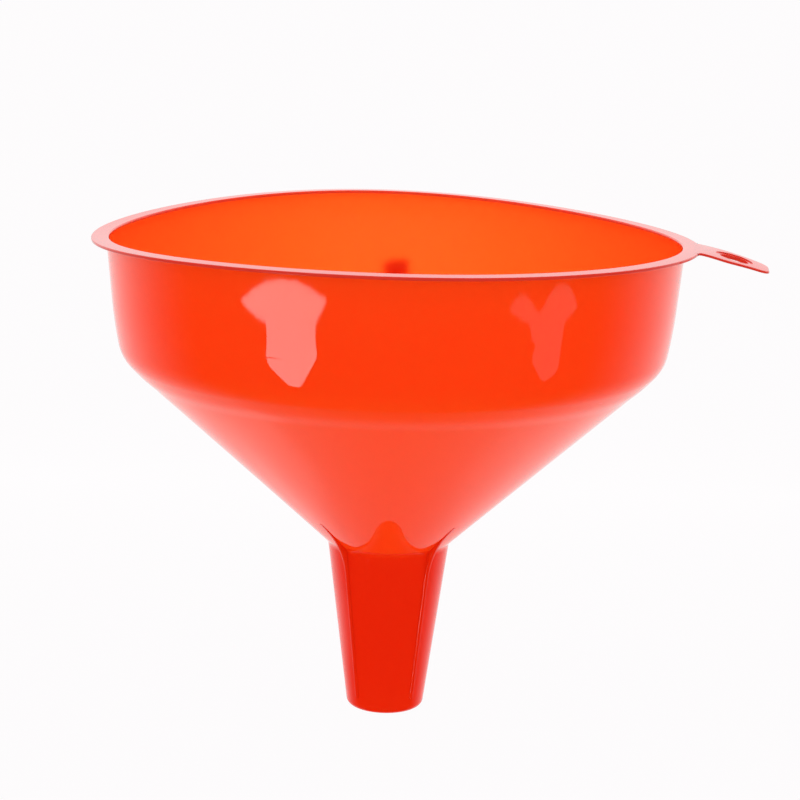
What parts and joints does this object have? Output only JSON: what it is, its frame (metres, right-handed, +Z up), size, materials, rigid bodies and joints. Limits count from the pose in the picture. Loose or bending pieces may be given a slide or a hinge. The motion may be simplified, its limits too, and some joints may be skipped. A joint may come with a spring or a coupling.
{
  "type": "funnel",
  "caption": "Wide round plastic funnel with a deep collar, steep cone, short tapered spout with vent ribs, and a hang tab on its rim.",
  "frame": {"origin": "on the funnel's axis at the height where the cone meets the spout, which is where a container's neck carries it", "axes": "+Z up along the axis from the spout to the rim, +X out through the hang tab"},
  "size_m": [0.2224, 0.2, 0.1632],
  "materials": {
    "funnel_plastic": "glossy moulded polyethylene, slightly translucent orange-red"
  },
  "bodies": {
    "root": {"rim_flange": "funnel_plastic", "collar_wall": "funnel_plastic", "shoulder_band": "funnel_plastic", "cone_wall": "funnel_plastic", "spout_tube": "funnel_plastic", "vent_rib_1": "funnel_plastic", "vent_rib_2": "funnel_plastic", "vent_rib_3": "funnel_plastic", "vent_rib_4": "funnel_plastic", "hang_tab": "funnel_plastic"}
  },
  "joints": []
}
